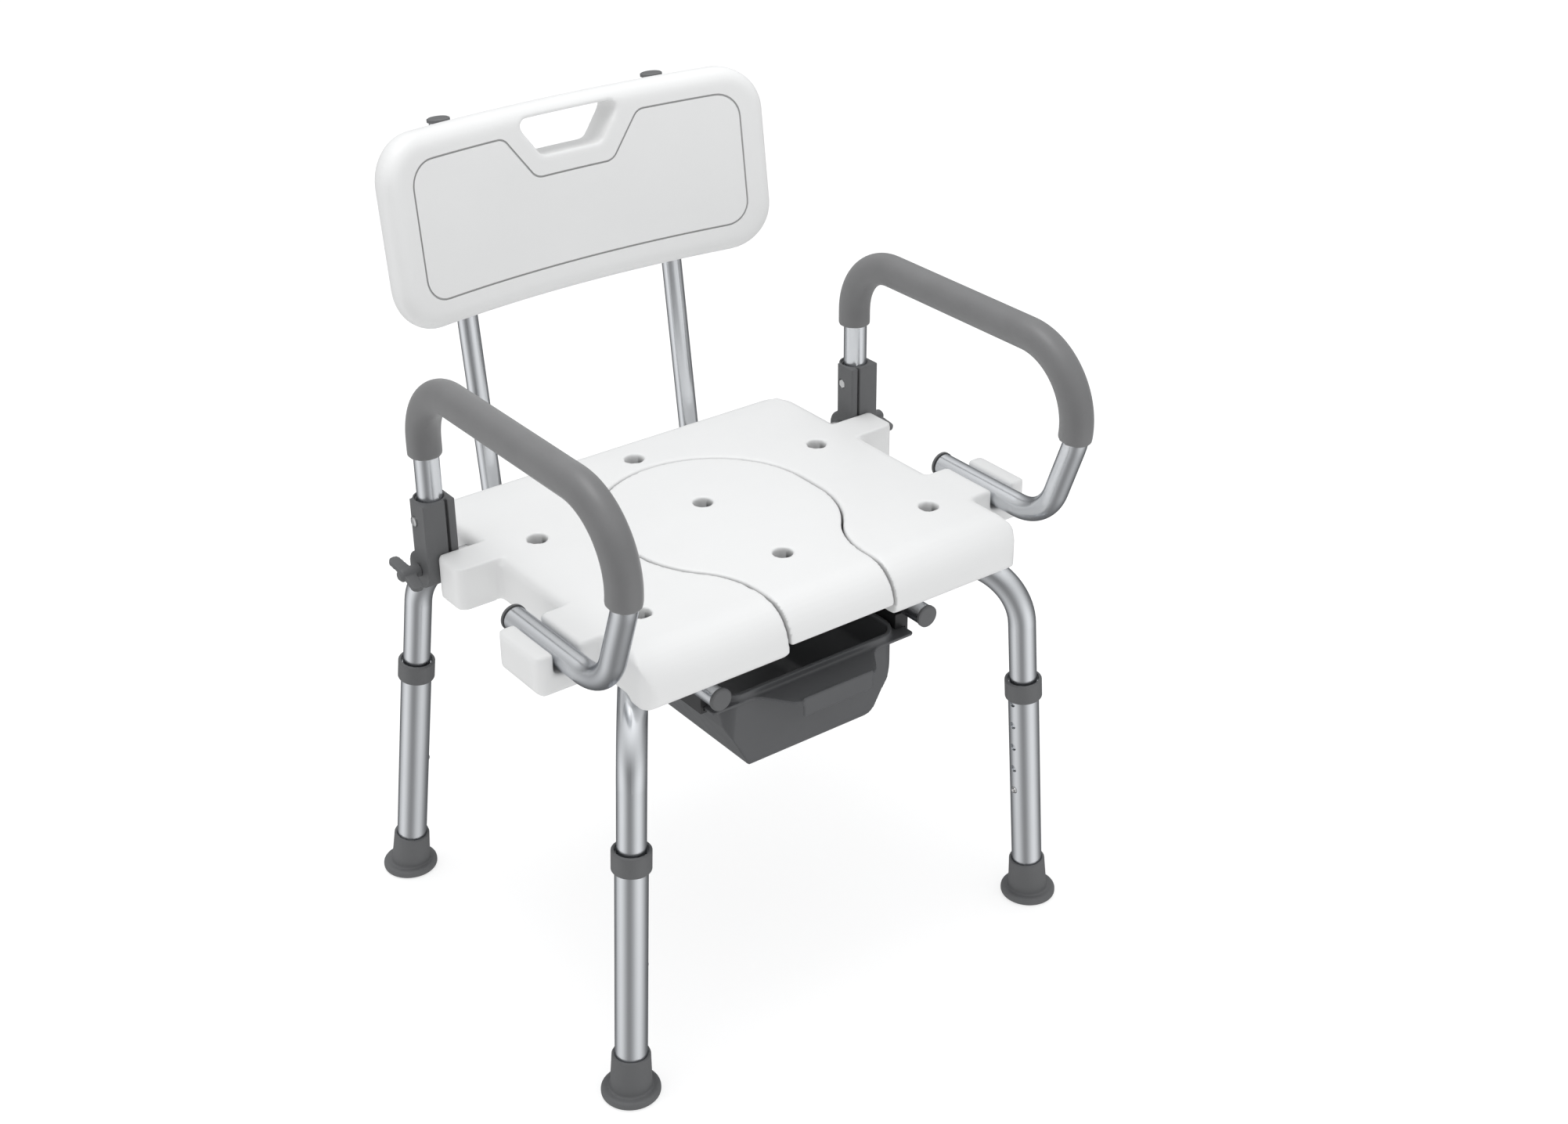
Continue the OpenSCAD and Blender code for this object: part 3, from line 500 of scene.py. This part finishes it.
def makeWorld():
    world = bpy.data.worlds.new("studio")
    bpy.context.scene.world = world
    world.use_nodes = True
    nodes, links = world.node_tree.nodes, world.node_tree.links
    coords = nodes.new("ShaderNodeTexCoord")

    def mathNode(kind, first, second, third=None):
        node = nodes.new("ShaderNodeMath")
        node.operation = kind
        for slot, value in enumerate([first, second, third]):
            if isinstance(value, (int, float)):
                node.inputs[slot].default_value = value
            elif value is not None:
                links.new(value, node.inputs[slot])
        return node.outputs[0]

    split = nodes.new("ShaderNodeSeparateXYZ")
    links.new(coords.outputs["Generated"], split.inputs["Vector"])
    upward = mathNode("MAXIMUM", split.outputs["Z"], 0.0)
    rise = mathNode("POWER", upward, stageLook["skyRise"])
    total = mathNode("MULTIPLY_ADD", rise, stageLook["skyHigh"], stageLook["skyLow"])
    for towards, tight, strength in stageLook["sideLamps"]:
        dot = nodes.new("ShaderNodeVectorMath")
        dot.operation = "DOT_PRODUCT"
        links.new(coords.outputs["Generated"], dot.inputs[0])
        dot.inputs[1].default_value = towards
        facing = mathNode("POWER", mathNode("MAXIMUM", dot.outputs["Value"], 0.0), tight)
        total = mathNode("MULTIPLY_ADD", facing, strength, total)
    seen = nodes.new("ShaderNodeLightPath")  # past the floor's far edge the studio is plain white
    mix = nodes.new("ShaderNodeMix")
    links.new(seen.outputs["Is Camera Ray"], mix.inputs["Factor"])
    links.new(total, mix.inputs["A"])
    mix.inputs["B"].default_value = stageLook["backdrop"]
    links.new(mix.outputs["Result"], nodes["Background"].inputs["Strength"])
    nodes["Background"].inputs["Color"].default_value = (0.985, 0.992, 1, 1)


def makeLight(name, place, aim, size, watts):
    data = bpy.data.lights.new(name, "AREA")
    data.shape = "DISK"
    data.size = size
    data.energy = watts
    obj = bpy.data.objects.new(name, data)
    bpy.context.scene.collection.objects.link(obj)
    obj.location = place
    obj.rotation_euler = (Vector(aim) - Vector(place)).to_track_quat("-Z", "Y").to_euler()


makeFloor()
makeWorld()
for light in lightLook:
    makeLight(*light)

cameraLook = {"place": (-0.9925, -1.4340, 1.3190), "azimuth": -37.01, "elevation": 28.9, "roll": -0.32,
              "lens": 50.273}


def makeCamera():
    a, e, r = (math.radians(cameraLook[k]) for k in ("azimuth", "elevation", "roll"))
    back = Vector((math.sin(a) * math.cos(e), -math.cos(a) * math.cos(e), math.sin(e)))
    right = Vector((math.cos(a), math.sin(a), 0))
    up = back.cross(right)
    across = math.cos(r) * right + math.sin(r) * up
    upward = -math.sin(r) * right + math.cos(r) * up
    data = bpy.data.cameras.new("camera")
    data.lens = cameraLook["lens"]
    data.sensor_width = 36
    data.clip_end = 50
    obj = bpy.data.objects.new("camera", data)
    bpy.context.scene.collection.objects.link(obj)
    turn = Matrix((across, upward, back)).transposed().to_4x4()
    obj.matrix_world = Matrix.Translation(cameraLook["place"]) @ turn
    bpy.context.scene.camera = obj


makeCamera()
bpy.context.scene.view_settings.view_transform = "Standard"
print("stage ready")
